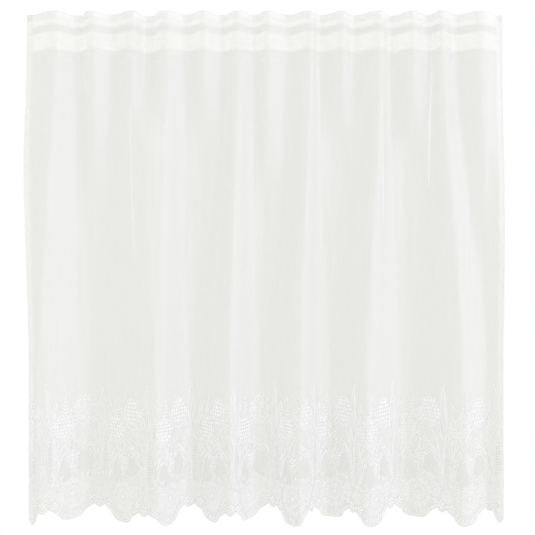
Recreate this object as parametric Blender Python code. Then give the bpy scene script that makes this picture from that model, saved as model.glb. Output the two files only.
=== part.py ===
"""Lace curtain: a hung panel of sheer cloth with a scalloped flower border,
and the two bands of its heading tape sewn along the top of its back.

Metres, +X to the right, +Y away from the viewer, +Z up. The origin lies on the
top edge, where the cloth crosses the middle plane of its folds.
"""

import math
from collections import namedtuple

import bmesh
import bpy
from mathutils import Vector

# The cloth as it was cut
FLAT_WIDTH = 1.82
HEIGHT = 1.45
SHEER_THICKNESS = 0.0012
HEM_THICKNESS = 0.0020
BORDER_THICKNESS = 0.0016
SIDE_HEM = 0.017
FOLD_OVER = 0.016
THICKNESS_STEP = 0.002

# The heading tape: heights below the top edge, and its distance from the cloth
TAPE_BANDS = {"heading_tape_upper": (0.018, 0.0355), "heading_tape_lower": (0.0555, 0.105)}
HEADING_HEIGHT = 0.105
TAPE_THICKNESS = 0.0010
TAPE_GAP = 0.0003

# The border: one flower repeat after the other, each with one scallop
BORDER_HEIGHT = 0.40
REPEAT = 0.174
FIRST_LEAF_TIP = 0.055
LOBE_AFTER_TIP = 0.44
LOBE_HALF_WIDTH = 0.26
LOBE_ROUNDNESS = 3.5
LOBE_RISE = 0.023
PEAK_AT = 0.41
SCALLOP_RISE = 0.039
CUSP_DROP = 0.009
CORNER_LOBES = (0.013, FLAT_WIDTH - 0.011)
CORNER_HALF_WIDTH = 0.020

# The mesh: columns are threads that hang down, rows are heights below the top
COLUMNS = 128
FOLD_STEPS = 12
BODY_ROWS = (0.0, FOLD_OVER, FOLD_OVER + THICKNESS_STEP, HEADING_HEIGHT,
             0.19, 0.30, 0.42, 0.55, 0.69, 0.84, 0.99, HEIGHT - BORDER_HEIGHT + 0.07)
FINE_ROWS = (1.26, 1.37)
SIDE_DRIFT_END = 1.06
SWAY = 0.003
SWAY_END = 0.95

# One row for each fold, from left to right, in millimetres. Depth is how far the
# cloth stands out towards the viewer. Steep is how sharply the side to the right
# of the fold turns, at the heading. Settle is the height below the top at which the
# small heading wave has merged into the broad lower fold.
Fold = namedtuple("Fold", "top_x top_depth steep low_x low_depth settle")
FOLDS = (
    Fold(-671, -20, 0.2, -653, 22, 520),
    Fold(-583, 20, 0.3, -628, 32, 600),
    Fold(-528, -23, 0.6, -523, -38, 700),
    Fold(-477, 20, 0.2, -498, -46, 640),
    Fold(-426, -14, 0.2, -465, -40, 640),
    Fold(-365, 20, 0.6, -319, 50, 500),
    Fold(-325, -30, 0.6, -296, 56, 400),
    Fold(-269, 21, 0.2, -277, 50, 500),
    Fold(-214, -15, 0.5, -216, -36, 560),
    Fold(-162, 20, 0.2, -199, -42, 430),
    Fold(-111, -20, 0.3, -175, -36, 500),
    Fold(-66, 23, 0.3, -87, 48, 700),
    Fold(-16, -16, 0.5, -16, -40, 640),
    Fold(19, 20, 0.2, 4, -45, 620),
    Fold(79, -18, 0.3, 25, -40, 640),
    Fold(137, 22, 0.6, 108, 42, 700),
    Fold(175, -20, 0.2, 181, -40, 600),
    Fold(230, 20, 0.6, 199, -46, 420),
    Fold(272, -22, 0.2, 222, -40, 520),
    Fold(333, 22, 0.6, 292, 50, 600),
    Fold(378, -23, 0.2, 402, -44, 600),
    Fold(429, 22, 0.2, 426, -50, 460),
    Fold(481, -16, 0.6, 452, -46, 560),
    Fold(510, 22, 0.3, 561, 42, 900),
    Fold(564, -16, 0.2, 649, -4, 800),
    Fold(618, 18, 0.2, 668, 0, 540),
    Fold(694, -22, 0.0, 690, 8, 700),
)

MM = 0.001


def clear_scene():
    for thing in list(bpy.data.objects):
        bpy.data.objects.remove(thing, do_unlink=True)


def ease(value):
    """Smooth step from 0 to 1."""
    value = min(max(value, 0.0), 1.0)
    return value * value * (3.0 - 2.0 * value)


def settled(height, end):
    """How far the cloth has changed from its heading to its lower folds, 0 to 1."""
    return ease((height - HEADING_HEIGHT) / (end - HEADING_HEIGHT))


def mix(a, b, share):
    return a + (b - a) * share


def fold_places(height):
    """Distance across, depth and steepness of each fold at a height below the top."""
    drift = settled(height, SIDE_DRIFT_END)
    sway = SWAY * math.sin(math.pi * min(height / SWAY_END, 1.0))
    places = []
    for fold in FOLDS:
        across = mix(fold.top_x, fold.low_x, drift) * MM
        across += sway * across / (FOLDS[-1].low_x * MM)
        share = settled(height, fold.settle * MM)
        depth = mix(fold.top_depth, fold.low_depth, share) * MM
        places.append((across, depth, fold.steep * (1.0 - share)))
    return places


def fold_slopes(places):
    """Slope of the cloth at each fold: level on crests, in troughs and at the edges."""
    rises = [(b[1] - a[1]) / (b[0] - a[0]) for a, b in zip(places, places[1:])]
    slopes = [0.0]
    for before, after in zip(rises, rises[1:]):
        level = before * after <= 0.0
        slopes.append(0.0 if level else 2.0 * before * after / (before + after))
    slopes.append(0.0)
    return slopes


def fold_line(height):
    """The wavy line of the cloth at a height below the top, as (across, depth) points."""
    places = fold_places(height)
    slopes = fold_slopes(places)
    line = []
    for index, (start, end) in enumerate(zip(places, places[1:])):
        run = end[0] - start[0]
        for step in range(FOLD_STEPS):
            share = step / FOLD_STEPS
            turn = share - start[2] * math.sin(math.tau * share) / math.tau
            depth = mix(start[1], end[1], ease(turn))
            depth += run * slopes[index] * turn * (1.0 - turn) ** 2
            depth -= run * slopes[index + 1] * turn ** 2 * (1.0 - turn)
            line.append((start[0] + share * run, depth))
    line.append((places[-1][0], places[-1][1]))
    return line


def lengths_along(line):
    """Length of cloth from the left edge to each point of a line."""
    lengths = [0.0]
    for a, b in zip(line, line[1:]):
        lengths.append(lengths[-1] + math.hypot(b[0] - a[0], b[1] - a[1]))
    return lengths


def hung_line(height):
    """A fold line whose depth is scaled until it takes up the whole flat width."""
    line = fold_line(height)
    low, high = 0.5, 2.0
    for _ in range(30):
        factor = (low + high) / 2.0
        scaled = [(across, depth * factor) for across, depth in line]
        if lengths_along(scaled)[-1] < FLAT_WIDTH:
            low = factor
        else:
            high = factor
    return scaled, lengths_along(scaled)


def threads_at(height, threads):
    """Plan position (x, y) of each hanging thread at a height below the top."""
    line, lengths = hung_line(height)
    plan = []
    index = 0
    for thread in threads:
        while index < len(line) - 2 and lengths[index + 1] < thread:
            index += 1
        share = (thread - lengths[index]) / (lengths[index + 1] - lengths[index])
        share = min(max(share, 0.0), 1.0)
        across = mix(line[index][0], line[index + 1][0], share)
        depth = mix(line[index][1], line[index + 1][1], share)
        plan.append(Vector((across, -depth)))
    return plan


def back_directions(plan):
    """Mitred direction towards the back of the cloth at each plan point."""
    sides = []
    for a, b in zip(plan, plan[1:]):
        along = (b - a).normalized()
        sides.append(Vector((-along.y, along.x)))
    mitres = [sides[0]]
    for before, after in zip(sides, sides[1:]):
        mitres.append((before + after) / (1.0 + before.dot(after)))
    mitres.append(sides[-1])
    return mitres


def scallop_rise(thread):
    """Height of the bottom edge: a lobe, a shoulder up to a peak, a small scallop between peaks."""
    lobe = FIRST_LEAF_TIP + LOBE_AFTER_TIP * REPEAT
    offset = abs(((thread - lobe) / REPEAT + 0.5) % 1.0 - 0.5)
    if offset < LOBE_HALF_WIDTH:
        rise = LOBE_RISE * (offset / LOBE_HALF_WIDTH) ** LOBE_ROUNDNESS
    elif offset < PEAK_AT:
        rise = mix(LOBE_RISE, SCALLOP_RISE, (offset - LOBE_HALF_WIDTH) / (PEAK_AT - LOBE_HALF_WIDTH))
    else:
        rise = SCALLOP_RISE - CUSP_DROP * math.sin(math.pi / 2.0 * (offset - PEAK_AT) / (0.5 - PEAK_AT))
    for corner in CORNER_LOBES:
        rise = min(rise, SCALLOP_RISE * ((thread - corner) / CORNER_HALF_WIDTH) ** 2)
    return rise


def thickness(thread, height):
    """Thickness of the cloth: double where it is hemmed, heavier in the border."""
    if min(thread, FLAT_WIDTH - thread) <= SIDE_HEM or height <= FOLD_OVER:
        return HEM_THICKNESS
    if height > HEIGHT - BORDER_HEIGHT + THICKNESS_STEP:
        return BORDER_THICKNESS
    return SHEER_THICKNESS


def coarse_threads():
    """Distances of the mesh's columns from the left edge, on the flat cloth."""
    inner = SIDE_HEM + THICKNESS_STEP
    step = (FLAT_WIDTH - 2.0 * inner) / (COLUMNS - 4)
    middle = [inner + index * step for index in range(COLUMNS - 3)]
    left = [0.0, SIDE_HEM]
    return left + middle + [FLAT_WIDTH - side for side in reversed(left)]


def fine_threads(threads):
    """The same threads with one more halfway between each two."""
    fine = [threads[0]]
    for a, b in zip(threads, threads[1:]):
        fine += [(a + b) / 2.0, b]
    return fine


def cloth_faces(half_thickness):
    """Where the cloth's front and back lie, from its middle towards the back."""
    return -half_thickness, half_thickness


def tape_faces(half_thickness):
    """Where the tape's front and back lie: just clear of the back of the cloth."""
    front = half_thickness + TAPE_GAP
    return front, front + TAPE_THICKNESS


def layer_row(threads, height, faces, levels=None):
    """Front and back points of one row of cloth or tape. Levels are its own heights in z."""
    plan = threads_at(height, threads)
    levels = levels or [-height] * len(threads)
    row = []
    for thread, place, direction, level in zip(threads, plan, back_directions(plan), levels):
        pair = []
        for offset in faces(thickness(thread, height) / 2.0):
            point = place + direction * offset
            pair.append(Vector((point.x, point.y, level)))
        row.append(pair)
    return row


def band_triangles(upper, lower):
    """Triangles between two rows, the lower with as many or twice as many steps."""
    triangles = []
    doubled = len(lower) > len(upper)
    for index in range(len(upper) - 1):
        if doubled:
            left, middle, right = lower[2 * index: 2 * index + 3]
            triangles.append((upper[index], left, middle))
            triangles.append((upper[index], middle, upper[index + 1]))
            triangles.append((upper[index + 1], middle, right))
        else:
            triangles.append((upper[index], lower[index], lower[index + 1]))
            triangles.append((upper[index], lower[index + 1], upper[index + 1]))
    return triangles


def fabric(name, colour, roughness):
    material = bpy.data.materials.new(name)
    material.use_nodes = True
    shader = material.node_tree.nodes["Principled BSDF"]
    shader.inputs["Base Color"].default_value = (*colour, 1.0)
    shader.inputs["Roughness"].default_value = roughness
    shader.inputs["Metallic"].default_value = 0.0
    return material


def add_layer(name, rows, material):
    """One closed solid from rows of front and back points."""
    mesh = bmesh.new()
    fronts = [[mesh.verts.new(pair[0]) for pair in row] for row in rows]
    backs = [[mesh.verts.new(pair[1]) for pair in row] for row in rows]
    for upper, lower in zip(fronts, fronts[1:]):
        for triangle in band_triangles(upper, lower):
            mesh.faces.new(triangle)
    for upper, lower in zip(backs, backs[1:]):
        for triangle in band_triangles(upper, lower):
            mesh.faces.new(triangle[::-1])
    rims = [(fronts[0], backs[0]), (backs[-1], fronts[-1])]
    rims.append(([row[-1] for row in fronts], [row[-1] for row in backs]))
    rims.append(([row[0] for row in backs], [row[0] for row in fronts]))
    for near, far in rims:
        for index in range(len(near) - 1):
            mesh.faces.new((near[index], near[index + 1], far[index + 1]))
            mesh.faces.new((near[index], far[index + 1], far[index]))
    bmesh.ops.recalc_face_normals(mesh, faces=mesh.faces)
    data = bpy.data.meshes.new(name)
    mesh.to_mesh(data)
    mesh.free()
    data.shade_smooth()
    data.set_sharp_from_angle(angle=math.radians(50.0))
    data.materials.append(material)
    layer = bpy.data.objects.new(name, data)
    bpy.context.scene.collection.objects.link(layer)
    return layer


def make_cloth():
    """The whole panel: fold-over, side hems, sheer body and scalloped border."""
    threads = coarse_threads()
    fine = fine_threads(threads)
    rows = [layer_row(threads, height, cloth_faces) for height in BODY_ROWS]
    rows += [layer_row(fine, height, cloth_faces) for height in FINE_ROWS]
    edge = [scallop_rise(thread) - HEIGHT for thread in fine]
    rows.append(layer_row(fine, HEIGHT, cloth_faces, edge))
    return add_layer("cloth", rows, fabric("sheer_cloth", (0.84, 0.84, 0.81), 0.9))


def make_tape(name, top, bottom):
    """One band of the heading tape, just behind the cloth and following its waves."""
    rows = [layer_row(coarse_threads(), height, tape_faces) for height in (top, bottom)]
    return add_layer(name, rows, fabric(name, (0.88, 0.88, 0.86), 0.85))


def build():
    clear_scene()
    make_cloth()
    for name, (top, bottom) in TAPE_BANDS.items():
        make_tape(name, top, bottom)


build()
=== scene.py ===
"""Looks of the lace curtain: the sheer panel on its folds, the embroidered flower
border, hems, heading tape and stitching, with the studio and the camera.

Places on the curtain are given on the flat cloth: a thread's distance from the left
edge, and the height below the top. `Drape` says where each of them hangs. All
lengths are in metres unless a name or a heading says millimetres.
"""

import math
from collections import namedtuple

import bpy
import numpy as np
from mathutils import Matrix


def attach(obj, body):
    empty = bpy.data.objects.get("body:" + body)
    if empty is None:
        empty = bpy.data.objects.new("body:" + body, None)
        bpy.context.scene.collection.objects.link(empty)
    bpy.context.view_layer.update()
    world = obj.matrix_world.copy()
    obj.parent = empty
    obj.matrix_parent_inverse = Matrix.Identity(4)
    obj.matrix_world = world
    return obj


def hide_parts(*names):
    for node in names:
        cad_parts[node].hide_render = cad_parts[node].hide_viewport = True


# The cloth as it was cut
FLAT_WIDTH = 1.82
HEIGHT = 1.45
SIDE_HEM = 0.017
FOLD_OVER = 0.016
HEM_LAYER_GAP = 0.0007
HEM_TURN = 0.002

# The heading tape: heights below the top edge
TAPE_BANDS = {"heading_tape_upper": (0.018, 0.0355), "heading_tape_lower": (0.0555, 0.105)}
HEADING_HEIGHT = 0.105
TAPE_OFFSET = -0.0016
TAPE_THICKNESS = 0.0008

# The border: one flower repeat after the other. At the lower edge each has a broad lobe
# and, between two peaks, a small scallop. LOBE_AFTER_TIP, LOBE_HALF_WIDTH and PEAK_AT
# are shares of a repeat.
BORDER_HEIGHT = 0.40
REPEAT = 0.174
FIRST_LEAF_TIP = 0.055
LOBE_AFTER_TIP = 0.44
LOBE_HALF_WIDTH = 0.26
LOBE_ROUNDNESS = 3.5
LOBE_RISE = 0.023
PEAK_AT = 0.41
SCALLOP_RISE = 0.039
CUSP_DROP = 0.009
CORNER_LOBES = (0.013, FLAT_WIDTH - 0.011)
CORNER_HALF_WIDTH = 0.020
TIPS = [FIRST_LEAF_TIP + count * REPEAT for count in range(-1, 11)]

# How the folds change on the way down: the heights at which they stop drifting sideways,
# swaying and gaining ripples, and how far they sway
SIDE_DRIFT_END = 1.06
SWAY_END = 0.95
RIPPLES_END = 0.6
SWAY = 0.003
FOLD_STEPS = 40

MM = 0.001

# One row for each fold, from left to right, in millimetres, as in the construction.
# Depth is how far the cloth stands out towards the viewer. Steep is how sharply the
# side to the right of the fold turns, at the heading. Settle is the height at which
# the small heading wave has merged into the broad lower fold.
Fold = namedtuple("Fold", "top_x top_depth steep low_x low_depth settle")
FOLDS = (
    Fold(-671, -20, 0.2, -653, 22, 520),
    Fold(-583, 20, 0.3, -628, 32, 600),
    Fold(-528, -23, 0.6, -523, -38, 700),
    Fold(-477, 20, 0.2, -498, -46, 640),
    Fold(-426, -14, 0.2, -465, -40, 640),
    Fold(-365, 20, 0.6, -319, 50, 500),
    Fold(-325, -30, 0.6, -296, 56, 400),
    Fold(-269, 21, 0.2, -277, 50, 500),
    Fold(-214, -15, 0.5, -216, -36, 560),
    Fold(-162, 20, 0.2, -199, -42, 430),
    Fold(-111, -20, 0.3, -175, -36, 500),
    Fold(-66, 23, 0.3, -87, 48, 700),
    Fold(-16, -16, 0.5, -16, -40, 640),
    Fold(19, 20, 0.2, 4, -45, 620),
    Fold(79, -18, 0.3, 25, -40, 640),
    Fold(137, 22, 0.6, 108, 42, 700),
    Fold(175, -20, 0.2, 181, -40, 600),
    Fold(230, 20, 0.6, 199, -46, 420),
    Fold(272, -22, 0.2, 222, -40, 520),
    Fold(333, 22, 0.6, 292, 50, 600),
    Fold(378, -23, 0.2, 402, -44, 600),
    Fold(429, 22, 0.2, 426, -50, 460),
    Fold(481, -16, 0.6, 452, -46, 560),
    Fold(510, 22, 0.3, 561, 42, 900),
    Fold(564, -16, 0.2, 649, -4, 800),
    Fold(618, 18, 0.2, 668, 0, 540),
    Fold(694, -22, 0.0, 690, 8, 700),
)

# Sharp creases left from folding, in millimetres: where each starts and ends across
# and below the top, how wide it is, how far it stands out towards the viewer, and how
# much closer the yarns lie where it is pinched.
Crease = namedtuple("Crease", "start_x start_height end_x end_height width rise pinch")
CREASES = (
    Crease(-366, 270, -352, 700, 2.6, 2.0, 0.7),
    Crease(491, 108, 486, 500, 2.4, 3.0, 1.0),
    Crease(164, 130, 171, 330, 2.6, 1.0, 0.1),
    Crease(341, 230, 350, 620, 2.8, 1.6, 0.3),
)

# Slow ripples of the cloth between its folds: waves for each metre across and down,
# phase in turns, and depth in millimetres.
Ripple = namedtuple("Ripple", "across down phase depth")
RIPPLES = (
    Ripple(17.0, 0.9, 0.13, 0.7),
    Ripple(29.0, -1.7, 0.51, 0.5),
    Ripple(43.0, 2.3, 0.77, 0.3),
)


def ease(value):
    """Smooth step from 0 to 1."""
    value = np.clip(value, 0.0, 1.0)
    return value * value * (3.0 - 2.0 * value)


def mix(a, b, share):
    return a + (b - a) * share


def settled(height, end):
    """How far the cloth has changed from its heading to its lower folds, 0 to 1."""
    return float(ease((height - HEADING_HEIGHT) / (end - HEADING_HEIGHT)))


def fold_places(height):
    """Distance across, depth and steepness of each fold at a height below the top."""
    drift = settled(height, SIDE_DRIFT_END)
    sway = SWAY * math.sin(math.pi * min(height / SWAY_END, 1.0))
    places = []
    for fold in FOLDS:
        across = mix(fold.top_x, fold.low_x, drift) * MM
        across += sway * across / (FOLDS[-1].low_x * MM)
        share = settled(height, fold.settle * MM)
        depth = mix(fold.top_depth, fold.low_depth, share) * MM
        places.append((across, depth, fold.steep * (1.0 - share)))
    return places


def fold_slopes(places):
    """Slope of the cloth at each fold: level on crests, in troughs and at the edges."""
    rises = [(b[1] - a[1]) / (b[0] - a[0]) for a, b in zip(places, places[1:])]
    slopes = [0.0]
    for before, after in zip(rises, rises[1:]):
        level = before * after <= 0.0
        slopes.append(0.0 if level else 2.0 * before * after / (before + after))
    slopes.append(0.0)
    return slopes


def fold_line(height):
    """The wavy line of the cloth at a height below the top: across and depth arrays."""
    places = fold_places(height)
    slopes = fold_slopes(places)
    share = np.arange(FOLD_STEPS) / FOLD_STEPS
    across, depths = [], []
    for index, (start, end) in enumerate(zip(places, places[1:])):
        run = end[0] - start[0]
        turn = share - start[2] * np.sin(math.tau * share) / math.tau
        depth = mix(start[1], end[1], ease(turn))
        depth += run * slopes[index] * turn * (1.0 - turn) ** 2
        depth -= run * slopes[index + 1] * turn ** 2 * (1.0 - turn)
        across.append(start[0] + share * run)
        depths.append(depth)
    last = places[-1]
    return np.append(np.concatenate(across), last[0]), np.append(np.concatenate(depths), last[1])


def lengths_along(across, depth):
    """Length of cloth from the left edge to each point of a line."""
    return np.append(0.0, np.cumsum(np.hypot(np.diff(across), np.diff(depth))))


def hung_line(height):
    """A fold line whose depth is scaled until it takes up the whole flat width."""
    across, depth = fold_line(height)
    low, high = 0.5, 2.0
    for _ in range(30):
        factor = (low + high) / 2.0
        if lengths_along(across, depth * factor)[-1] < FLAT_WIDTH:
            low = factor
        else:
            high = factor
    return across, depth * factor, lengths_along(across, depth * factor)


def creases_at(across, height):
    """How far the sharp creases stand out at places across, and how pinched they are."""
    rise = np.zeros_like(across)
    pinch = np.zeros_like(across)
    for crease in CREASES:
        span = (crease.end_height - crease.start_height) * MM
        along = (height - crease.start_height * MM) / span
        if not 0.0 < along < 1.0:
            continue
        middle = mix(crease.start_x, crease.end_x, along) * MM
        fade = math.sin(math.pi * along) ** 0.6
        ridge = fade * np.exp(-((across - middle) / (crease.width * MM)) ** 2)
        rise += crease.rise * MM * ridge
        pinch += crease.pinch * ridge
    return rise, pinch


def ripple_rise(across, height):
    """Slow ripples, absent in the stiff heading and stronger further down."""
    rise = np.zeros_like(across)
    for ripple in RIPPLES:
        turns = ripple.across * across + ripple.down * height + ripple.phase
        rise += ripple.depth * MM * np.sin(math.tau * turns)
    return rise * settled(height, RIPPLES_END)


class Drape:
    """Where each place on the flat cloth hangs, and which way its front faces."""

    THREAD_STEPS = 535
    HEIGHT_STEPS = 170

    def __init__(self):
        threads = np.linspace(0.0, FLAT_WIDTH, self.THREAD_STEPS + 1)
        heights = np.linspace(0.0, HEIGHT, self.HEIGHT_STEPS + 1)
        self.places = np.zeros((len(heights), len(threads), 3))
        self.pinches = np.zeros((len(heights), len(threads), 1))
        for row, height in enumerate(heights):
            across, depth, lengths = hung_line(height)
            x = np.interp(threads, lengths, across)
            y = np.interp(threads, lengths, depth)
            rise, pinch = creases_at(x, height)
            y = y + rise + ripple_rise(x, height)
            self.pinches[row, :, 0] = pinch
            self.places[row] = np.column_stack([x, -y, np.full_like(x, -height)])
        down = np.gradient(self.places, axis=0)
        along = np.gradient(self.places, axis=1)
        front = np.cross(down, along)
        self.fronts = front / np.linalg.norm(front, axis=2, keepdims=True)

    def between(self, grid, thread, height):
        """Values of a grid over the cloth at arrays of threads and heights."""
        column = np.clip(thread / FLAT_WIDTH, 0.0, 1.0) * self.THREAD_STEPS
        row = np.clip(height / HEIGHT, 0.0, 1.0) * self.HEIGHT_STEPS
        left = np.minimum(column.astype(int), self.THREAD_STEPS - 1)
        upper = np.minimum(row.astype(int), self.HEIGHT_STEPS - 1)
        u = (column - left)[..., None]
        v = (row - upper)[..., None]
        above = grid[upper, left] * (1 - u) + grid[upper, left + 1] * u
        below = grid[upper + 1, left] * (1 - u) + grid[upper + 1, left + 1] * u
        return above * (1 - v) + below * v

    def at(self, thread, height, rise):
        """Hanging places for arrays of threads and heights, raised towards the viewer."""
        rise = np.broadcast_to(np.asarray(rise, dtype=float), thread.shape)
        fronts = self.between(self.fronts, thread, height)
        return self.between(self.places, thread, height) + fronts * rise[..., None]


def scallop_rise(thread):
    """Height of the bottom edge: a lobe, a shoulder up to a peak, a small scallop between peaks."""
    lobe = FIRST_LEAF_TIP + LOBE_AFTER_TIP * REPEAT
    offset = np.abs(((thread - lobe) / REPEAT + 0.5) % 1.0 - 0.5)
    rounded = LOBE_RISE * (offset / LOBE_HALF_WIDTH) ** LOBE_ROUNDNESS
    shoulder = mix(LOBE_RISE, SCALLOP_RISE, (offset - LOBE_HALF_WIDTH) / (PEAK_AT - LOBE_HALF_WIDTH))
    along = np.clip((offset - PEAK_AT) / (0.5 - PEAK_AT), 0.0, 1.0)
    cusped = SCALLOP_RISE - CUSP_DROP * np.sin(math.pi / 2.0 * along)
    rise = np.where(offset < LOBE_HALF_WIDTH, rounded, np.where(offset < PEAK_AT, shoulder, cusped))
    for corner in CORNER_LOBES:
        rise = np.minimum(rise, SCALLOP_RISE * ((thread - corner) / CORNER_HALF_WIDTH) ** 2)
    return rise


# Meshes

# Below this height the panel's rows follow the scallops
SCALLOP_ROWS_FROM = 1.37


def add_mesh(name, points, faces, material, flat, fields=()):
    """A smooth-shaded mesh piece. Flat holds each point's place on the flat cloth."""
    data = bpy.data.meshes.new(name)
    data.from_pydata([tuple(point) for point in points], [], faces)
    data.shade_smooth()
    data.materials.append(material)
    corners = np.zeros(len(data.loops), dtype=np.int32)
    data.loops.foreach_get("vertex_index", corners)
    layer = data.uv_layers.new(name="flat")
    layer.data.foreach_set("uv", np.asarray(flat, dtype=np.float32)[corners].ravel())
    for field, values in fields:
        attribute = data.attributes.new(field, "FLOAT", "POINT")
        attribute.data.foreach_set("value", np.asarray(values, dtype=np.float32).ravel())
    piece = bpy.data.objects.new(name, data)
    bpy.context.scene.collection.objects.link(piece)
    return piece


def grid_faces(rows, columns):
    """Quads over a grid of points, row after row from the top, facing the viewer."""
    index = np.arange(rows * columns).reshape(rows, columns)
    quads = np.stack([index[:-1, :-1], index[1:, :-1], index[1:, 1:], index[:-1, 1:]], axis=-1)
    return quads.reshape(-1, 4).tolist()


def folded(distance, length):
    """Turns places past an edge back onto the cloth. Gives the place and how far it is past."""
    past = np.maximum(-distance, 0.0) + np.maximum(distance - length, 0.0)
    inside = np.where(distance < 0.0, -distance, distance)
    return np.where(distance > length, 2.0 * length - distance, inside), past


def panel_columns():
    """Threads of the panel's columns. Inside the edges they are those of the drape."""
    turned = np.array([-SIDE_HEM, -SIDE_HEM / 2, -HEM_TURN, -HEM_TURN / 2, 0.0, HEM_TURN / 4, HEM_TURN / 2])
    inside = np.linspace(0.0, FLAT_WIDTH, Drape.THREAD_STEPS + 1)[1:-1]
    return np.concatenate([turned, inside, FLAT_WIDTH - turned[::-1]])


def panel_rows():
    """Heights of the panel's rows above its last band, which follows the scallops."""
    turned = np.array([-FOLD_OVER, -FOLD_OVER / 2, -HEM_TURN, -HEM_TURN / 2, 0.0, HEM_TURN / 4])
    heading = np.linspace(HEM_TURN / 2, HEADING_HEIGHT, 9)
    body = np.linspace(HEADING_HEIGHT, HEIGHT - BORDER_HEIGHT, 58)[1:]
    border = np.linspace(HEIGHT - BORDER_HEIGHT, SCALLOP_ROWS_FROM, 64)[1:]
    return np.concatenate([turned, heading, body, border])


def make_panel(drape, material):
    """The curtain's own cloth in one sheet, with its side hems and top turned over."""
    columns = panel_columns()
    rows = panel_rows()
    last_band = np.linspace(0.0, 1.0, 17)[1:]
    thread, past_side = folded(columns, FLAT_WIDTH)
    edge = HEIGHT - scallop_rise(thread)
    heights = np.vstack([np.tile(rows[:, None], (1, len(columns))),
                         rows[-1] + last_band[:, None] * (edge - rows[-1])[None, :]])
    threads = np.tile(thread, (len(heights), 1))
    height, past_top = folded(heights, math.inf)
    behind = ease(past_side / HEM_TURN)[None, :] + ease(past_top / HEM_TURN)
    points = drape.at(threads, height, -HEM_LAYER_GAP * behind)
    net, dense = ground_fields(threads, height)
    pinch = drape.between(drape.pinches, threads, height)
    flat = np.stack([threads, height], axis=-1)
    return add_mesh("curtain_panel", points.reshape(-1, 3), grid_faces(*threads.shape), material,
                    flat.reshape(-1, 2), (("net", net), ("dense", dense), ("pinch", pinch)))


# The border's design

# One row for each window of thin net in a repeat, in millimetres from the leaf tip's
# thread and from the lowest edge: middle, half width and half height, how much it leans,
# and how much narrower it is at the top than in the middle.
Window = namedtuple("Window", "x y half_width half_height lean taper")
WINDOWS = (
    Window(-54, 163, 26, 31, 0.10, 0.20),
    Window(-88, 214, 13, 17, 0.00, 0.55),
    Window(54, 144, 27, 37, -0.12, 0.45),
    Window(10, 170, 9, 64, 0.02, 0.10),
)

# The narrow window is a ladder: millimetres between its rungs and each rung's bow, and
# the share of its height that they fill
LADDER = WINDOWS[3]
LADDER_PITCH = 7.5
RUNG_BOW = 1.0
LADDER_FILL = 0.85

# Heads of flowers, in the same units: middle, width, height and how much each leans
Head = namedtuple("Head", "x y width height lean")
HEADS = (Head(-53, 312, 74, 92, -0.05), Head(50, 264, 66, 82, 0.06))

# Flowers low in the border: middle, radius, number of petals and turn. Those of a larger
# radius than LARGE_BLOOM have rings of outlined petals, the others filled ones.
Bloom = namedtuple("Bloom", "x y radius petals turn")
BLOOMS = (
    Bloom(82, 74, 47, 17, 0.1),
    Bloom(-34, 92, 22, 9, 0.3),
    Bloom(9, 78, 19, 8, 0.0),
    Bloom(-12, 52, 12, 6, 0.5),
    Bloom(25, 48, 11, 5, 0.2),
    Bloom(-34, 60, 10, 5, 0.4),
)
LARGE_BLOOM = 18

# Lines along the scalloped edge, in metres: height above it, width and rise
EdgeLine = namedtuple("EdgeLine", "above width rise")
EDGE_LINES = (
    EdgeLine(0.0008, 0.0020, 0.0009),
    EdgeLine(0.0070, 0.0012, 0.0007),
    EdgeLine(0.0115, 0.0010, 0.0006),
)

# The leaves in a row above each lobe of that edge, in metres: how many there are, the
# share of the lobe that they fill, how high their feet are above the edge, their length,
# how much the outermost lean inwards, their widths from foot to tip, their rise, and
# how far they keep off the side edges
EDGE_LEAVES = 9
EDGE_LEAF_FILL = 0.85
EDGE_LEAF_FOOT = 0.0125
EDGE_LEAF_LENGTH = 0.010
EDGE_LEAF_LEAN = 0.25
EDGE_LEAF_WIDTHS = (0.0022, 0.0020, 0.0006)
EDGE_LEAF_RISE = 0.0007
EDGE_LEAF_MARGIN = 0.02

# The cloth's ground: how much heavier it is under the flowers and in the hems, 0 to 1.
# A fade is the share of a flower's or a window's half width over which its edge blends
# in, and for a hem a length. The net reaches a little past a window's rim.
FLOWER_GROUND = 0.25
HEM_GROUND = 0.35
FLOWER_FADE = 0.25
WINDOW_REACH = 1.08
WINDOW_FADE = 0.16
HEM_FADE = 0.001


def filled_places(threads, up):
    """How much each place lies under a flower head or a large bloom, 0 to 1."""
    ovals = [(head.x, head.y, head.width / 2, head.height / 2, head.lean) for head in HEADS]
    large = [bloom for bloom in BLOOMS if bloom.radius > LARGE_BLOOM]
    ovals += [(bloom.x, bloom.y, bloom.radius, bloom.radius, 0.0) for bloom in large]
    filled = np.zeros_like(threads)
    for tip in TIPS:
        for x, y, half_width, half_height, lean in ovals:
            v = (up / MM - y) / half_height
            u = ((threads - tip) / MM - x - lean * v * half_height) / half_width
            filled = np.maximum(filled, ease((1.0 - np.hypot(u, v)) / FLOWER_FADE))
    return filled


def ground_fields(threads, heights):
    """How much each place is thin net, and how much heavier its ground is, 0 to 1."""
    up = HEIGHT - heights
    net = np.zeros_like(threads)
    for tip in TIPS:
        for window in WINDOWS:
            y = (up / MM - window.y) / window.half_height
            x = (threads - tip) / MM - window.x - window.lean * y * window.half_height
            narrowed = window.half_width * (1.0 - window.taper * np.clip(y, -1.0, 1.0))
            reach = np.hypot(x / narrowed, y)
            net = np.maximum(net, ease((WINDOW_REACH - reach) / WINDOW_FADE))
    flowers = FLOWER_GROUND * filled_places(threads, up)
    heading = ease((FOLD_OVER + HEM_FADE / 2 - heights) / HEM_FADE)
    inside = np.minimum(threads, FLAT_WIDTH - threads)
    hem = ease((SIDE_HEM - HEM_FADE / 2 - inside) / HEM_FADE)
    return net, np.maximum(flowers * (1.0 - net), HEM_GROUND * np.maximum(heading, hem))


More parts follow.
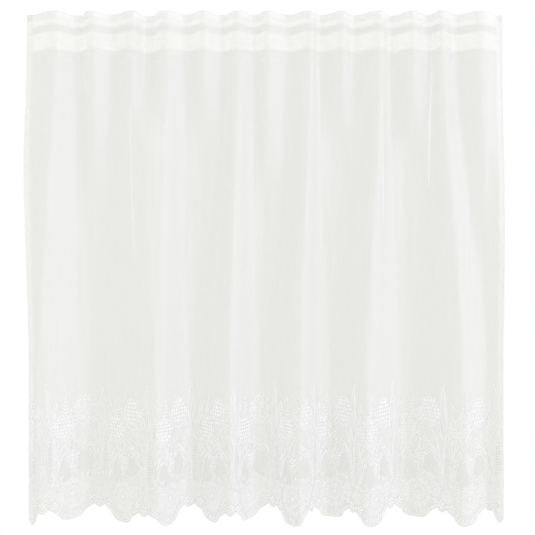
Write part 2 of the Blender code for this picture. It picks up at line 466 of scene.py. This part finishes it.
# Embroidery: strokes of satin stitch, raised on both faces of the cloth

# Widths of cords, in millimetres
CORD = 1.5
FINE_CORD = 1.0

# The share of its rise that a stroke stands out in front, how much of that it stands out
# behind, and the width in metres from which it is raised in full
RAISED = 0.15
RAISED_BEHIND = 0.5
FULL_WIDTH = 0.003

# How far lines, motifs and the sides of a stroke keep off the side edges, and how far
# each stroke clears the cloth, in metres
EDGE_MARGIN = 0.003
MOTIF_MARGIN = 0.010
SIDE_MARGIN = 0.0005
STROKE_CLEARANCE = 0.00015

# A stroke's longest step across and down the cloth, in metres, and the ring of points
# round it. Points past half a turn are behind the cloth. On the map of its stitches each
# radian round it is a small length.
LONGEST_STEP = (0.0017, 0.008)
STROKE_SIDE_ANGLE = math.radians(75)
RING = 6
RING_ANGLES = np.arange(RING) * math.tau / RING
BEHIND = RING_ANGLES > math.pi * 1.01
RADIAN_ON_MAP = 0.001


def finer(path, widths):
    """A path with points added where it crosses folds, so that it bends with them."""
    counts = np.ceil(np.abs(np.diff(path, axis=0)) / LONGEST_STEP).max(axis=1)
    counts = np.maximum(counts, 1).astype(int)
    spans = [start + np.arange(count) / count for start, count in enumerate(counts)]
    places = np.append(np.concatenate(spans), len(counts))
    index = np.arange(len(path))
    finer_path = np.column_stack([np.interp(places, index, column) for column in path.T])
    return finer_path, np.interp(places, index, widths)


class Strokes:
    """Collects raised strokes that follow paths on the flat cloth, to make one mesh."""

    def __init__(self, drape, margin=EDGE_MARGIN):
        self.drape = drape
        self.margin = margin
        self.points = []
        self.flats = []
        self.faces = []
        self.count = 0

    def add(self, path, widths, rise):
        """One stroke along a path of (thread, height) points, as far as it is on the cloth."""
        path = np.asarray(path, dtype=float)
        widths = np.broadcast_to(np.asarray(widths, dtype=float), (len(path),))
        on_cloth = np.abs(path[:, 0] - FLAT_WIDTH / 2) <= FLAT_WIDTH / 2 - self.margin
        path, widths = path[on_cloth], widths[on_cloth]
        if len(path) < 3:
            return
        path, widths = finer(path, widths)
        along = np.gradient(path, axis=0)
        along /= np.maximum(np.linalg.norm(along, axis=1, keepdims=True), 1e-9)
        side = np.column_stack([-along[:, 1], along[:, 0]])
        out = np.cos(RING_ANGLES)[None, :, None] * (widths[:, None, None] / 2) * side[:, None, :]
        flat = path[:, None, :] + out
        flat[..., 0] = np.clip(flat[..., 0], SIDE_MARGIN, FLAT_WIDTH - SIDE_MARGIN)
        fullness = np.minimum(widths / FULL_WIDTH, 1.0)[:, None]
        lift = np.sin(RING_ANGLES)[None, :] * RAISED * rise * fullness
        lift = np.where(BEHIND, lift * RAISED_BEHIND - STROKE_CLEARANCE, lift + STROKE_CLEARANCE)
        points = self.drape.at(flat[..., 0], flat[..., 1], lift)
        length = np.append(0.0, np.cumsum(np.linalg.norm(np.diff(path, axis=0), axis=1)))
        uv = np.stack(np.broadcast_arrays(length[:, None], RING_ANGLES[None, :] * RADIAN_ON_MAP), axis=-1)
        self.points.append(points.reshape(-1, 3))
        self.flats.append(uv.reshape(-1, 2))
        self.link(len(path))

    def link(self, steps):
        """Faces round and along the stroke just added, closed at both ends."""
        start = self.count
        for step in range(steps - 1):
            here = start + step * RING
            for index in range(RING):
                after = (index + 1) % RING
                self.faces.append((here + index, here + RING + index, here + RING + after, here + after))
        self.faces.append(tuple(start + index for index in range(RING)))
        last = start + (steps - 1) * RING
        self.faces.append(tuple(last + index for index in reversed(range(RING))))
        self.count += steps * RING

    def piece(self, name, material):
        """All strokes so far as one mesh, with creases only where a stroke meets its back."""
        points, flats = np.concatenate(self.points), np.concatenate(self.flats)
        piece = add_mesh(name, points, self.faces, material, flats)
        piece.data.set_sharp_from_angle(angle=STROKE_SIDE_ANGLE)
        return piece


class Motif:
    """Draws a repeat's flowers in millimetres from its leaf tip's thread and lowest edge."""

    def __init__(self, strokes, tip):
        self.strokes = strokes
        self.tip = tip

    def stroke(self, path, widths, rise):
        """A raised stroke along a path, with one width or a width at each point."""
        path = np.asarray(path, dtype=float) * MM
        flat = np.column_stack([self.tip + path[:, 0], HEIGHT - path[:, 1]])
        self.strokes.add(flat, np.asarray(widths, dtype=float) * MM, rise * MM)

    def cord(self, path, width=CORD, rise=0.9):
        """A thin even line that narrows at its ends."""
        path = np.asarray(path, dtype=float)
        widths = np.full(len(path), float(width))
        widths[0] = widths[-1] = width * 0.4
        self.stroke(path, widths, rise)

    def petal(self, base, tip, width, bend=0.0, rise=0.8, fullest=0.55, steps=7):
        """A filled petal or leaf from its base to its tip, bent sideways by a share."""
        path, share = bent_line(base, tip, bend, steps)
        outline = np.where(share < fullest, share / fullest, (1 - share) / (1 - fullest))
        self.stroke(path, width * np.maximum(np.sin(outline * math.pi / 2), 0.12), rise)

    def outline_leaf(self, base, tip, width, bend, steps=11):
        """A pointed leaf of two corded edges, a vein, and satin on one half."""
        path, share = bent_line(base, tip, bend, steps)
        along = np.gradient(path, axis=0)
        side = np.column_stack([along[:, 1], -along[:, 0]])
        side /= np.linalg.norm(side, axis=1, keepdims=True)
        belly = (width / 2) * np.sin(math.pi * share ** 0.8)[:, None]
        self.cord(path + side * belly)
        self.cord(path - side * belly)
        self.cord(path[1:-2], FINE_CORD, 0.6)
        self.stroke((path + side * belly * 0.5)[1:-1], 0.22 * width * np.sin(math.pi * share[1:-1]), 0.5)

    def arch(self, foot, across, up, width, steps=9):
        """The outline of a petal: a round arch over its foot."""
        foot, across, up = (np.asarray(value, dtype=float) for value in (foot, across, up))
        angle = np.linspace(0.0, math.pi, steps)
        aside = -np.cos(angle) * (0.75 + 0.25 * np.sin(angle)) / 2
        self.cord(foot + aside[:, None] * across + np.sin(angle)[:, None] * up, width)


def bent_line(base, tip, bend, steps):
    """Points from base to tip on a bow, with each point's share of the way."""
    base, tip = np.asarray(base, dtype=float), np.asarray(tip, dtype=float)
    share = np.linspace(0.0, 1.0, steps)
    run = tip - base
    side = np.array([run[1], -run[0]])
    bow = 4.0 * bend * share * (1.0 - share)
    return base + share[:, None] * run + bow[:, None] * side, share


def ring_path(x, y, half_width, half_height, lean, taper, steps=25):
    """A closed oval that leans and narrows upwards, as points in millimetres."""
    angle = np.linspace(0.0, math.tau, steps)
    rise = half_height * np.sin(angle)
    across = half_width * (1.0 - taper * np.sin(angle)) * np.cos(angle)
    return np.column_stack([x + across + lean * rise, y + rise])


def flower_head(motif, x, y, width, height, lean):
    """A head of plump cells in rows, with a tuft on top and a cup below."""
    def place(u, v):
        return np.array([x + width * u / 2 + lean * height * v / 2, y + height * v / 2])

    Row = namedtuple("Row", "foot cells spread")
    rows = (Row(0.54, 4, 0.42), Row(0.30, 5, 0.62), Row(0.06, 6, 0.78),
            Row(-0.18, 6, 0.80), Row(-0.42, 5, 0.66), Row(-0.66, 4, 0.44))
    for row in rows:
        for u in np.linspace(-row.spread, row.spread, row.cells):
            foot = place(u, row.foot)
            up = np.array([u * 6 + lean * height * 0.11, height * 0.11])
            motif.petal(foot, foot + up, width * 0.125, steps=6)
    for fan in (-0.8, -0.4, 0.0, 0.4, 0.8):
        tip = place(fan * 0.8, 1.04 - 0.2 * abs(fan))
        motif.petal(place(fan * 0.4, 0.74), tip, 3.4, 0.1 * fan, steps=5)
    for grow, reach, steps in ((0.98, 1.9, 19), (0.90, 0.8, 9)):
        angles = np.linspace(-reach, reach, steps)
        motif.cord([place(grow * math.sin(angle), -grow * math.cos(angle)) for angle in angles], 1.3)


def flower_heads(motif):
    """The two heads that stand on the tall stems."""
    for head in HEADS:
        flower_head(motif, *head)


def sprig(motif, base, tip, pairs, leaf, bend=0.0):
    """A thin stem with pairs of small buds and one at its end."""
    path, _ = bent_line(base, tip, bend, 2 * pairs + 3)
    motif.cord(path, 1.1, 0.7)
    run = (path[-1] - path[0]) / np.linalg.norm(path[-1] - path[0])
    side = np.array([run[1], -run[0]])
    for pair in range(pairs):
        start = path[2 * pair + 1]
        size = leaf * (1.0 - 0.35 * pair / pairs)
        for way in (-1, 1):
            motif.petal(start, start + size * (0.75 * run + 0.75 * way * side), size * 0.36, 0.12 * way)
    motif.petal(path[-2], path[-1] + run * leaf * 0.8, leaf * 0.4)


def disc_flower(motif, x, y, radius, petals, turn):
    """An open flower: two rings of outlined petals, veins in the outer ring, and an eye."""
    middle = np.array([x, y])
    for index in range(petals):
        angle = turn + index * math.tau / petals
        out = np.array([math.cos(angle), math.sin(angle)])
        across = np.array([out[1], -out[0]]) * math.tau * radius / petals
        motif.arch(middle + out * radius * 0.55, across * 0.9, out * radius * 0.42, 1.2)
        vein = min(radius * 0.13, 3.2)
        motif.petal(middle + out * radius * 0.60, middle + out * radius * 0.88, vein, steps=5)
        aside = math.tau / petals / 2
        inner = np.array([math.cos(angle + aside), math.sin(angle + aside)])
        motif.arch(middle + inner * radius * 0.24, across * 0.45, inner * radius * 0.28, 1.2, 7)
    motif.petal((x, y - radius * 0.15), (x, y + radius * 0.15), radius * 0.28, steps=5, fullest=0.5)


def small_flower(motif, x, y, radius, petals, turn):
    """A small open flower: filled petals round an eye."""
    middle = np.array([x, y])
    for index in range(petals):
        angle = turn + index * math.tau / petals
        out = np.array([math.cos(angle), math.sin(angle)])
        base, tip = middle + out * radius * 0.18, middle + out * radius
        motif.petal(base, tip, radius * 0.46, rise=0.5, fullest=0.65, steps=6)
    motif.petal((x, y - radius * 0.16), (x, y + radius * 0.16), radius * 0.30, steps=5, fullest=0.5)


Leaf = namedtuple("Leaf", "foot_x foot_y tip_x tip_y width bend")


def draw_leaves(motif, leaves):
    """Outlined leaves, each from its foot to its tip."""
    for leaf in leaves:
        foot, tip = (leaf.foot_x, leaf.foot_y), (leaf.tip_x, leaf.tip_y)
        motif.outline_leaf(foot, tip, leaf.width, leaf.bend)


def tall_leaves(motif):
    """The pointed leaf that stands above the flowers, and its smaller neighbours."""
    draw_leaves(motif, (
        Leaf(8, 256, 0, 397, 23, -0.04),
        Leaf(15, 236, 19, 334, 12, 0.06),
        Leaf(-4, 232, -16, 306, 8, -0.10),
        Leaf(30, 316, 24, 346, 6, 0.10),
    ))


def stems_and_blades(motif):
    """Stems in pairs of cords that carry heads and leaves, and long curved blades."""
    Stem = namedtuple("Stem", "top_x top_y foot_x foot_y apart bend")
    stems = (
        Stem(-48, 268, -16, 120, 5.0, -0.10),
        Stem(8, 258, -4, 116, 3.5, 0.04),
        Stem(52, 222, 80, 116, 5.0, -0.12),
        Stem(-22, 276, -17, 196, 4.0, 0.03),
        Stem(22, 240, 26, 134, 3.0, -0.02),
        Stem(32, 300, 31, 222, 4.0, 0.04),
    )
    for stem in stems:
        for aside in (-stem.apart / 2, stem.apart / 2):
            top, foot = (stem.top_x + aside, stem.top_y), (stem.foot_x + aside, stem.foot_y)
            motif.cord(bent_line(top, foot, stem.bend, 11)[0])
    draw_leaves(motif, (
        Leaf(24, 118, 37, 226, 7, -0.05),
        Leaf(30, 122, 52, 214, 7, -0.11),
        Leaf(36, 126, 68, 198, 7, -0.18),
        Leaf(-8, 116, -78, 238, 11, 0.15),
        Leaf(-110, 170, -86, 244, 7, -0.10),
        Leaf(-28, 168, -60, 206, 6, 0.20),
        Leaf(-74, 150, -58, 204, 6, -0.16),
        Leaf(-20, 150, -32, 236, 6, 0.08),
        Leaf(66, 176, 88, 232, 7, 0.12),
    ))


def side_sprays(motif):
    """Small sprays and flowers that fill the ground between stems and windows."""
    sprig(motif, (54, 302), (60, 350), 4, 11, 0.05)
    sprig(motif, (-84, 262), (-96, 312), 3, 10, -0.05)
    sprig(motif, (82, 238), (80, 276), 2, 9)
    sprig(motif, (-58, 206), (-60, 240), 2, 9)
    small_flower(motif, -86, 178, 13, 6, 0.2)
    small_flower(motif, 76, 156, 9, 5, 0.6)


def windows(motif):
    """Corded rims round the windows of thin net, and the rungs across the narrow one."""
    for window in WINDOWS:
        motif.cord(ring_path(*window), CORD, 1.0)
    rungs = int(2.0 * LADDER_FILL * LADDER.half_height / LADDER_PITCH)
    for rung in range(rungs):
        y = LADDER.y + (rung - (rungs - 1) / 2) * LADDER_PITCH
        reach = LADDER.half_width * math.sqrt(1.0 - ((y - LADDER.y) / LADDER.half_height) ** 2)
        motif.cord([(LADDER.x - reach, y), (LADDER.x - reach / 2, y + RUNG_BOW),
                    (LADDER.x + reach / 2, y + RUNG_BOW), (LADDER.x + reach, y)], FINE_CORD)


def low_flowers(motif):
    """The band of open flowers above the scallops."""
    for bloom in BLOOMS:
        draw = disc_flower if bloom.radius > LARGE_BLOOM else small_flower
        draw(motif, *bloom)


def low_leaves(motif):
    """Threes of small leaves between the open flowers."""
    Spray = namedtuple("Spray", "x y turn leaf")
    sprays = (
        Spray(-12, 106, 1.4, 15), Spray(14, 102, 1.6, 15),
        Spray(30, 98, 1.1, 14), Spray(-56, 122, 1.6, 14),
        Spray(50, 118, 2.0, 13), Spray(-80, 128, 1.3, 12),
        Spray(-42, 118, 1.4, 13), Spray(8, 54, -1.5, 11),
        Spray(-84, 22, -1.3, 10), Spray(70, 18, -1.8, 10),
    )
    for spray in sprays:
        foot = np.array([spray.x, spray.y])
        for aside in (-0.6, 0.0, 0.6):
            way = np.array([math.cos(spray.turn + aside), math.sin(spray.turn + aside)])
            motif.outline_leaf(foot, foot + way * spray.leaf, spray.leaf * 0.4, 0.1 * aside, 6)


def edge_lines(strokes):
    """The finished scalloped edge: a thick cord, and two finer lines above it."""
    threads = np.linspace(EDGE_MARGIN, FLAT_WIDTH - EDGE_MARGIN, 1201)
    for line in EDGE_LINES:
        heights = HEIGHT - scallop_rise(threads) - line.above
        strokes.add(np.column_stack([threads, heights]), line.width, line.rise)


def edge_leaves(strokes):
    """A row of small leaves above each lobe of the edge, leaning towards its middle."""
    half = REPEAT * LOBE_HALF_WIDTH
    for tip in TIPS:
        lobe = tip + LOBE_AFTER_TIP * REPEAT
        for share in np.linspace(-EDGE_LEAF_FILL, EDGE_LEAF_FILL, EDGE_LEAVES):
            thread = lobe + half * share
            if not EDGE_LEAF_MARGIN < thread < FLAT_WIDTH - EDGE_LEAF_MARGIN:
                continue
            foot = HEIGHT - scallop_rise(np.array([thread]))[0] - EDGE_LEAF_FOOT
            lean = -EDGE_LEAF_LEAN * share * EDGE_LEAF_LENGTH
            path = np.array([(thread, foot), (thread + lean / 2, foot - EDGE_LEAF_LENGTH / 2),
                             (thread + lean, foot - EDGE_LEAF_LENGTH)])
            strokes.add(path, EDGE_LEAF_WIDTHS, EDGE_LEAF_RISE)


def make_border(drape, material):
    """All embroidered pieces of the border, one mesh for each kind."""
    kinds = {
        "border_flower_heads": flower_heads,
        "border_tall_leaves": tall_leaves,
        "border_stems": stems_and_blades,
        "border_sprays": side_sprays,
        "border_net_rims": windows,
        "border_low_flowers": low_flowers,
        "border_low_leaves": low_leaves,
    }
    pieces = []
    for name, draw in kinds.items():
        strokes = Strokes(drape, MOTIF_MARGIN)
        for tip in TIPS:
            draw(Motif(strokes, tip))
        pieces.append(strokes.piece(name, material))
    edge = Strokes(drape)
    edge_lines(edge)
    edge_leaves(edge)
    pieces.append(edge.piece("border_edge_cord", material))
    return pieces


# Stitching and tape

# Running stitches: pitch, length, width and rise, how far they are from the inner edges
# of the hems and from the edges of the tape, and how far from the curtain's edges they
# start and end
STITCH_PITCH = 0.0046
STITCH_LENGTH = 0.0032
STITCH_WIDTH = 0.0008
STITCH_RISE = 0.0009
HEM_STITCH_INSET = 0.003
TAPE_STITCH_INSET = 0.0015
STITCHES_START = 0.004
HEM_STITCHES_END = 0.06

# The woven bands: the share of a band's height that turns back at each edge, the share
# that is firm selvedge and how much thicker it is, how far a band keeps off the side
# edges, and the length over which it steps back behind the hems
TAPE_TURN = 0.012
SELVEDGE = 0.03
SELVEDGE_RISE = 0.1
TAPE_INSET = 0.001
HEM_STEP = 0.004


def stitch_line(strokes, start, end):
    """A row of running stitches between two places on the flat cloth."""
    start, end = np.asarray(start), np.asarray(end)
    way = (end - start) / np.linalg.norm(end - start)
    for count in range(int(np.linalg.norm(end - start) / STITCH_PITCH)):
        head = start + way * count * STITCH_PITCH
        path = np.array([head, head + way * STITCH_LENGTH / 2, head + way * STITCH_LENGTH])
        strokes.add(path, (STITCH_WIDTH / 2, STITCH_WIDTH, STITCH_WIDTH / 2), STITCH_RISE)


def make_stitching(drape, material):
    """Running stitches that hold the side hems and the two bands of tape."""
    strokes = Strokes(drape)
    for thread in (SIDE_HEM - HEM_STITCH_INSET, FLAT_WIDTH - SIDE_HEM + HEM_STITCH_INSET):
        stitch_line(strokes, (thread, STITCHES_START), (thread, HEIGHT - HEM_STITCHES_END))
    for top, bottom in TAPE_BANDS.values():
        for height in (top + TAPE_STITCH_INSET, bottom - TAPE_STITCH_INSET):
            stitch_line(strokes, (STITCHES_START, height), (FLAT_WIDTH - STITCHES_START, height))
    return strokes.piece("hem_and_tape_stitches", material)


def make_tape(drape, name, top, bottom, material):
    """One woven band behind the cloth, with firm selvedges that turn back."""
    threads = np.linspace(TAPE_INSET, FLAT_WIDTH - TAPE_INSET, 561)
    face = (0.0, 0.02, 0.05, 0.2, 0.4, 0.6, 0.8, 0.95, 0.98, 1.0)
    shares = np.array([-TAPE_TURN, *face, 1.0 + TAPE_TURN])
    turned = np.clip(np.abs(shares - 0.5) - 0.5, 0.0, 1.0) / TAPE_TURN
    firm = np.exp(-((0.5 - np.abs(np.clip(shares, 0.0, 1.0) - 0.5)) / SELVEDGE) ** 2)
    heights = mix(top, bottom, np.clip(shares, TAPE_TURN, 1.0 - TAPE_TURN))
    rises = TAPE_OFFSET + TAPE_THICKNESS * (SELVEDGE_RISE * firm - turned)
    grid_threads = np.tile(threads, (len(shares), 1))
    grid_heights = np.tile(heights[:, None], (1, len(threads)))
    hem_step = ease((SIDE_HEM + HEM_STEP - np.minimum(threads, FLAT_WIDTH - threads)) / HEM_STEP)
    points = drape.at(grid_threads, grid_heights, rises[:, None] - HEM_LAYER_GAP * hem_step[None, :])
    flat = np.stack([grid_threads, grid_heights], axis=-1)
    return add_mesh(name + "_band", points.reshape(-1, 3), grid_faces(*grid_threads.shape), material,
                    flat.reshape(-1, 2))


# Materials

class Nodes:
    """Short ways to add and link shader nodes."""

    def __init__(self, name):
        self.material = bpy.data.materials.new(name)
        self.material.use_nodes = True
        self.tree = self.material.node_tree
        self.tree.nodes.clear()

    def add(self, kind, inputs=(), **settings):
        """A node with its settings, and its inputs linked to sockets or set to values."""
        node = self.tree.nodes.new(kind)
        for key, value in settings.items():
            setattr(node, key, value)
        for key, value in dict(inputs).items():
            if isinstance(value, bpy.types.NodeSocket):
                self.tree.links.new(value, node.inputs[key])
            else:
                node.inputs[key].default_value = value
        return node

    def math(self, operation, a, b=0.0):
        return self.add("ShaderNodeMath", {0: a, 1: b}, operation=operation).outputs[0]

    def scaled(self, value, factor, base):
        """A base plus a value times a factor."""
        inputs = {0: value, 1: factor, 2: base}
        return self.add("ShaderNodeMath", inputs, operation="MULTIPLY_ADD").outputs[0]

    def flat(self):
        """The place on the flat cloth, in metres, as separate across and down sockets."""
        uv = self.add("ShaderNodeUVMap", uv_map="flat")
        parts = self.add("ShaderNodeSeparateXYZ", {0: uv.outputs[0]})
        return parts.outputs[0], parts.outputs[1]

    def noise(self, x, y, x_scale, y_scale, detail=2.0):
        """Uneven spots from 0 to 1. The scales are spots to the metre across and down."""
        place = self.add("ShaderNodeCombineXYZ", {0: self.math("MULTIPLY", x, x_scale),
                                                  1: self.math("MULTIPLY", y, y_scale)})
        inputs = {"Vector": place.outputs[0], "Scale": 1.0, "Detail": detail}
        return self.add("ShaderNodeTexNoise", inputs).outputs["Fac"]

    def wave(self, x, pitch):
        """A sine of the given pitch, from -1 to 1."""
        return self.math("SINE", self.math("MULTIPLY", x, math.tau / pitch))

    def field(self, name):
        """A value that the mesh holds at each of its points."""
        return self.add("ShaderNodeAttribute", attribute_name=name).outputs["Fac"]

    def blend(self, share, first, second):
        """A colour between two others, each a socket or three values."""
        inputs = {"Fac": share, "Color1": first, "Color2": second}
        for name in ("Color1", "Color2"):
            if not isinstance(inputs[name], bpy.types.NodeSocket):
                inputs[name] = (*inputs[name], 1.0)
        return self.add("ShaderNodeMixRGB", inputs).outputs[0]

    def mix_shaders(self, share, first, second):
        return self.add("ShaderNodeMixShader", {0: share, 1: first, 2: second}).outputs[0]

    def cloth(self, tint, bump, roughness, see_through, bump_depth, shine=0.0):
        """Fibres that let some light through. Shine is the share of glossy filament."""
        normal = self.add("ShaderNodeBump", {"Height": bump, "Strength": 0.5, "Distance": bump_depth})
        front = self.add("ShaderNodeBsdfPrincipled", {
            "Base Color": tint, "Roughness": roughness, "Sheen Weight": 0.15, "Sheen Roughness": 0.5,
            "Specular IOR Level": 0.3, "Normal": normal.outputs[0]})
        through = self.add("ShaderNodeBsdfTranslucent", {"Color": tint, "Normal": normal.outputs[0]})
        both = self.mix_shaders(see_through, front.outputs[0], through.outputs[0])
        if not shine:
            return both
        filament = {"Color": tint, "Roughness": 0.5, "Normal": normal.outputs[0]}
        gloss = self.add("ShaderNodeBsdfAnisotropic", filament)
        return self.mix_shaders(shine, both, gloss.outputs[0])

    def finish(self, shader, cover=None):
        """The material. Cover is the share that its yarns fill: the rest is clear."""
        if cover is not None:
            clear = self.add("ShaderNodeBsdfTransparent")
            shader = self.mix_shaders(cover, clear.outputs[0], shader)
        self.add("ShaderNodeOutputMaterial", {"Surface": shader})
        return self.material


# Each pair is the darker and the lighter tint of a yarn
SHEER_COLOURS = ((0.91, 0.915, 0.89), (0.93, 0.93, 0.91))
THREAD_COLOURS = ((0.955, 0.955, 0.94), (0.98, 0.98, 0.97))
LACE_COLOURS = ((0.915, 0.915, 0.898), (0.94, 0.94, 0.923))
TAPE_COLOURS = ((0.855, 0.855, 0.815), (0.875, 0.875, 0.84))

# The share that the yarns fill, 0 to 1: in the plain cloth, where the ground is heavier
# by 1, in the stitches and the tape, and between the threads of the net
SHEER_COVER = 0.60
DENSE_COVER = 0.74
SEWING_COVER = 0.45
TAPE_COVER = 0.90
NET_CELL_COVER = 0.20

# What is added to that share by streaks, pinched creases, a crossing of the weaves, and
# a thread of the net
STREAK_COVER = 0.012
PINCH_COVER = 0.35
WEAVE_COVER = 0.06
TAPE_WEAVE_COVER = 0.05
NET_THREAD_COVER = 0.62

# Pitches in metres. A net thread's half width and the unevenness of the cells are shares.
WEAVE_PITCH = 0.0011
NET_PITCH = 0.0030
NET_THREAD = 0.13
NET_UNEVENNESS = 0.25
LACE_PITCH = 0.0007
SEWING_PITCH = 0.0008
TAPE_RIB_PITCH = 0.0016
TAPE_PICK_PITCH = 0.0012


def net_cover(nodes, across, down):
    """How much the thin net fills: threads between uneven cells."""
    place = nodes.add("ShaderNodeCombineXYZ", {0: across, 1: down})
    mesh = {"Vector": place.outputs[0], "Scale": 1.0 / NET_PITCH, "Randomness": NET_UNEVENNESS}
    cells = nodes.add("ShaderNodeTexVoronoi", mesh, feature="DISTANCE_TO_EDGE", voronoi_dimensions="2D")
    threads = nodes.math("LESS_THAN", cells.outputs["Distance"], NET_THREAD)
    return nodes.scaled(threads, NET_THREAD_COVER, NET_CELL_COVER)


def sheer_material():
    """Voile: crossing yarns with uneven streaks, windows of net, heavier ground in places."""
    nodes = Nodes("sheer_voile")
    across, down = nodes.flat()
    streaks = nodes.noise(across, down, 320.0, 5.0, detail=3.0)
    slubs = nodes.noise(across, down, 30.0, 380.0)
    weave = nodes.math("MULTIPLY", nodes.wave(across, WEAVE_PITCH), nodes.wave(down, WEAVE_PITCH))
    ground = nodes.scaled(nodes.math("SUBTRACT", streaks, 0.5), STREAK_COVER * 2, SHEER_COVER)
    slubbed = nodes.math("MULTIPLY", nodes.math("SUBTRACT", slubs, 0.5), STREAK_COVER)
    woven = nodes.math("MULTIPLY", weave, WEAVE_COVER)
    heavier = nodes.math("MULTIPLY", nodes.field("dense"), DENSE_COVER - SHEER_COVER)
    pinched = nodes.math("MULTIPLY", nodes.field("pinch"), PINCH_COVER)
    for extra in (slubbed, woven, heavier, pinched):
        ground = nodes.math("ADD", ground, extra)
    inputs = {0: nodes.field("net"), 2: ground, 3: net_cover(nodes, across, down)}
    cover = nodes.add("ShaderNodeMix", inputs, data_type="FLOAT")
    tint = nodes.blend(nodes.field("dense"), nodes.blend(streaks, *SHEER_COLOURS), THREAD_COLOURS[0])
    shader = nodes.cloth(tint, weave, roughness=0.85, see_through=0.30, bump_depth=0.0002, shine=0.25)
    return nodes.finish(shader, cover.outputs[0])


def thread_material(name, colours, pitch, cover=None):
    """Satin stitch: fine threads laid across each stroke."""
    nodes = Nodes(name)
    along, around = nodes.flat()
    ribs = nodes.wave(along, pitch)
    uneven = nodes.noise(along, around, 900.0, 300.0)
    relief = nodes.math("ADD", ribs, uneven)
    tint = nodes.blend(uneven, *colours)
    shader = nodes.cloth(tint, relief, roughness=0.7, see_through=0.50, bump_depth=0.00002, shine=0.05)
    return nodes.finish(shader, cover)


def tape_material():
    """Woven tape: ribs crossed by picks in a plain, slightly uneven weave."""
    nodes = Nodes("woven_tape")
    across, down = nodes.flat()
    ribs = nodes.wave(across, TAPE_RIB_PITCH)
    picks = nodes.wave(down, TAPE_PICK_PITCH)
    weave = nodes.math("MULTIPLY", ribs, picks)
    uneven = nodes.noise(across, down, 200.0, 40.0)
    relief = nodes.math("ADD", weave, uneven)
    tint = nodes.blend(uneven, *TAPE_COLOURS)
    shader = nodes.cloth(tint, relief, roughness=0.8, see_through=0.90, bump_depth=0.0001)
    return nodes.finish(shader, nodes.scaled(weave, TAPE_WEAVE_COVER, TAPE_COVER))


# Studio

FLOOR_HEIGHT = -2.35
FLOOR_RADIUS = 2.4
FLOOR_COLOUR = (0.80, 0.80, 0.79)
CAMERA_PLACE = (0.020, -2.30, -0.725)
CAMERA_LENS = 54.3

# The surround's colour where it is seen through the cloth, and as light on surfaces
SEEN_THROUGH = (0.655, 0.665, 0.625)
AMBIENT = (1.085, 1.085, 1.085)

KEY_STRENGTH = 0.62
KEY_COLOUR = (0.76, 0.72, 1.0)
KEY_TURN = (math.radians(84), 0.0, math.radians(80))
KEY_WIDTH = math.radians(20)


def make_floor():
    bpy.ops.mesh.primitive_circle_add(
        vertices=96, radius=FLOOR_RADIUS, fill_type="NGON", location=(0, 0, FLOOR_HEIGHT))
    floor = bpy.context.object
    floor.name = "studio_floor"
    nodes = Nodes("pale_floor")
    shader = nodes.add("ShaderNodeBsdfPrincipled", {"Base Color": (*FLOOR_COLOUR, 1.0), "Roughness": 0.8})
    floor.data.materials.append(nodes.finish(shader.outputs[0]))


def make_world():
    """A white surround that lights the scene and is greyer where it is seen through cloth."""
    world = bpy.data.worlds.new("studio")
    bpy.context.scene.world = world
    world.use_nodes = True
    tree = world.node_tree
    tree.nodes.clear()
    path = tree.nodes.new("ShaderNodeLightPath")
    through = tree.nodes.new("ShaderNodeMath")
    through.operation = "GREATER_THAN"
    through.inputs[1].default_value = 0.5
    tree.links.new(path.outputs["Transparent Depth"], through.inputs[0])
    seen = tree.nodes.new("ShaderNodeMixRGB")
    seen.inputs["Color1"].default_value = (1.0, 1.0, 1.0, 1.0)
    seen.inputs["Color2"].default_value = (*SEEN_THROUGH, 1.0)
    tree.links.new(through.outputs[0], seen.inputs["Fac"])
    colour = tree.nodes.new("ShaderNodeMixRGB")
    colour.inputs["Color1"].default_value = (*AMBIENT, 1.0)
    tree.links.new(path.outputs["Is Camera Ray"], colour.inputs["Fac"])
    tree.links.new(seen.outputs[0], colour.inputs["Color2"])
    background = tree.nodes.new("ShaderNodeBackground")
    tree.links.new(colour.outputs[0], background.inputs["Color"])
    output = tree.nodes.new("ShaderNodeOutputWorld")
    tree.links.new(background.outputs[0], output.inputs["Surface"])


def make_light():
    """A weak light from the viewer's right that brightens the sides of the folds, without shadows."""
    light = bpy.data.lights.new("key", "SUN")
    light.energy = KEY_STRENGTH
    light.color = KEY_COLOUR
    light.angle = KEY_WIDTH
    light.use_shadow = False
    key = bpy.data.objects.new("key", light)
    key.rotation_euler = KEY_TURN
    bpy.context.scene.collection.objects.link(key)


def make_camera():
    camera = bpy.data.cameras.new("camera")
    camera.lens = CAMERA_LENS
    camera.sensor_width = 36.0
    rig = bpy.data.objects.new("camera", camera)
    rig.location = CAMERA_PLACE
    rig.rotation_euler = (math.radians(90), 0.0, 0.0)
    bpy.context.scene.collection.objects.link(rig)
    bpy.context.scene.camera = rig


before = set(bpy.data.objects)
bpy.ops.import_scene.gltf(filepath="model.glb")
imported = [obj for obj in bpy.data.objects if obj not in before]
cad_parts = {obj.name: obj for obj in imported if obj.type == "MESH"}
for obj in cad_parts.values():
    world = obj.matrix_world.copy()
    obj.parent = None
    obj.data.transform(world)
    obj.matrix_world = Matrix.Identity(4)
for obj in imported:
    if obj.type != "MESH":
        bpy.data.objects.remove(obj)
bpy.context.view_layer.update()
bpy.context.scene.view_settings.view_transform = "Standard"
make_camera()
make_world()
make_light()
make_floor()

drape = Drape()
sheer = sheer_material()
lace_thread = thread_material("lace_thread", LACE_COLOURS, LACE_PITCH)
sewing_thread = thread_material("sewing_thread", THREAD_COLOURS, SEWING_PITCH, SEWING_COVER)
woven_tape = tape_material()

panel = make_panel(drape, sheer)
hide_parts("cloth")
trims = make_border(drape, lace_thread)
trims.append(make_stitching(drape, sewing_thread))
for node, (top, bottom) in TAPE_BANDS.items():
    tape = make_tape(drape, node, top, bottom, woven_tape)
    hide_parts(node)
    trims.append(tape)
for piece in [panel, *trims]:
    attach(piece, "root")
